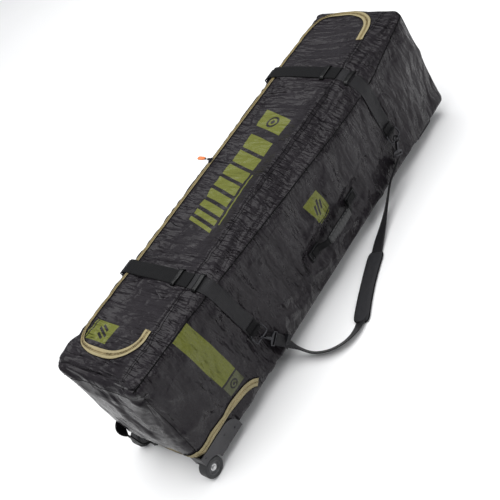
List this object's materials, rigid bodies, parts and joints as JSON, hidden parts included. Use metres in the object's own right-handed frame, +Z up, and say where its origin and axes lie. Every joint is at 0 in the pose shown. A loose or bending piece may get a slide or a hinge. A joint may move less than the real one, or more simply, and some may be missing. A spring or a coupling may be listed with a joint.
{
  "type": "wheeled snowboard bag",
  "caption": "Long padded wheeled board bag with a zipped flap lid, two buckled compression straps, grab handles and a clip-on shoulder strap.",
  "frame": {"origin": "middle of the bag's footprint, on the floor it stands on (bottom centre of the bounding box without the shoulder strap)", "axes": "+X from the wheel end to the far end, +Z up through the lid, -Y is the side with the grab handle and shoulder strap"},
  "size_m": [1.612, 0.5828, 0.4736],
  "materials": {
    "ripstop": "coated charcoal nylon, lightly creased",
    "board": "plain sheet",
    "zip_tape": "tan woven tape with a nylon coil",
    "moulding": "fine moulded grain",
    "black_webbing": "woven webbing",
    "buckle_plastic": "moulded acetal",
    "zinc_hardware": "dark plated casting",
    "bright_steel": "bright plated",
    "puller_rubber": "moulded orange tab",
    "wheel_rubber": "cast tyre, lightly scuffed",
    "hub_plastic": "moulded",
    "handle_rubber": "moulded grip",
    "padding": "foam pad with a woven cover"
  },
  "bodies": {
    "bag": {"base_panel": "ripstop", "base_stiffener_board": "board", "side_panel_right": "ripstop", "side_panel_left": "ripstop", "wheel_end_panel": "ripstop", "far_end_panel": "ripstop", "hinge_side_strip": "ripstop", "wheel_end_strip": "ripstop", "far_end_strip": "ripstop", "zip_side_strip": "ripstop", "zip_tape_body": "zip_tape", "corner_guard_right": "moulding", "corner_guard_left": "moulding", "axle_bolts": "bright_steel", "axle_nuts": "bright_steel", "guard_screws": "bright_steel", "rail_screws": "bright_steel", "skid_rails": "moulding", "base_zip_tape": "zip_tape", "lower_side_strap": "black_webbing", "upper_side_strap": "black_webbing", "anchor_straps": "black_webbing", "fixed_strap_keepers": "black_webbing", "lower_buckle_socket": "buckle_plastic", "upper_buckle_socket": "buckle_plastic", "side_handle_patches": "black_webbing", "end_handle_webbing": "black_webbing", "far_end_handle": "black_webbing", "strap_rings": "zinc_hardware", "ring_folds": "black_webbing", "lower_snap_hook": "zinc_hardware", "upper_snap_hook": "zinc_hardware", "strap_webbing_upper": "black_webbing", "strap_webbing_lower": "black_webbing", "shoulder_pad": "padding", "strap_adjuster": "buckle_plastic", "seam_piping": "black_webbing"},
    "lid": {"lid_panel": "ripstop", "zip_tape_lid": "zip_tape", "lower_lid_strap": "black_webbing", "upper_lid_strap": "black_webbing", "lid_strap_keepers": "black_webbing"},
    "right_wheel": {"wheel_tyre_right": "wheel_rubber", "wheel_hub_right": "hub_plastic", "wheel_bearings_right": "bright_steel"},
    "left_wheel": {"wheel_tyre_left": "wheel_rubber", "wheel_hub_left": "hub_plastic", "wheel_bearings_left": "bright_steel"},
    "main_slider": {"main_zip_slider": "zinc_hardware"},
    "main_pull": {"main_zip_puller": "zinc_hardware", "main_puller_tab": "puller_rubber"},
    "base_slider": {"base_zip_slider": "zinc_hardware"},
    "base_pull": {"base_zip_puller": "zinc_hardware"},
    "grab_handle": {"side_handle_strap": "black_webbing", "side_handle_grip": "handle_rubber"},
    "lower_buckle": {"lower_buckle_prongs": "buckle_plastic"},
    "upper_buckle": {"upper_buckle_prongs": "buckle_plastic"},
    "lower_gate": {"lower_hook_gate": "zinc_hardware"},
    "upper_gate": {"upper_hook_gate": "zinc_hardware"}
  },
  "joints": [
    {"name": "lid_hinge", "type": "hinge", "parent": "bag", "child": "lid", "pos_m": [0.0215, -0.11, 0.463], "axis": [1, 0, 0], "range_deg": [0, 140]},
    {"name": "right_wheel_axle", "type": "hinge", "parent": "bag", "child": "right_wheel", "pos_m": [-0.764, -0.163, 0.035], "axis": [0, 1, 0], "continuous": true},
    {"name": "left_wheel_axle", "type": "hinge", "parent": "bag", "child": "left_wheel", "pos_m": [-0.764, 0.163, 0.035], "axis": [0, 1, 0], "continuous": true},
    {"name": "main_zip_slide", "type": "slide", "parent": "bag", "child": "main_slider", "axis": [1, 0, 0], "range_m": [-0.41, 0.37]},
    {"name": "main_puller_hinge", "type": "hinge", "parent": "main_slider", "child": "main_pull", "pos_m": [0.04, 0.1605, 0.4707], "axis": [1, 0, 0], "range_deg": [0, 150]},
    {"name": "base_zip_slide", "type": "slide", "parent": "bag", "child": "base_slider", "axis": [1, 0, 0], "range_m": [-0.218, 0]},
    {"name": "base_puller_hinge", "type": "hinge", "parent": "base_slider", "child": "base_pull", "pos_m": [-0.522, 0.1877, 0.117], "axis": [1, 0, 0], "range_deg": [0, 150]},
    {"name": "grab_handle_hinge", "type": "hinge", "parent": "bag", "child": "grab_handle", "pos_m": [0.066, -0.1905, 0.178], "axis": [1, 0, 0], "range_deg": [-55, 55]},
    {"name": "lower_buckle_slide", "type": "slide", "parent": "lid", "child": "lower_buckle", "axis": [0, 0, 1], "range_m": [0, 0.03]},
    {"name": "upper_buckle_slide", "type": "slide", "parent": "lid", "child": "upper_buckle", "axis": [0, 0, 1], "range_m": [0, 0.03]},
    {"name": "lower_gate_hinge", "type": "hinge", "parent": "bag", "child": "lower_gate", "pos_m": [-0.38305, -0.2088, 0.18162], "axis": [-0.866, 0, -0.5], "range_deg": [0, 35], "stiffness_Nm_per_rad": 0.02},
    {"name": "upper_gate_hinge", "type": "hinge", "parent": "bag", "child": "upper_gate", "pos_m": [0.46305, -0.2088, 0.16162], "axis": [-0.866, 0, 0.5], "range_deg": [0, 35], "stiffness_Nm_per_rad": 0.02}
  ]
}
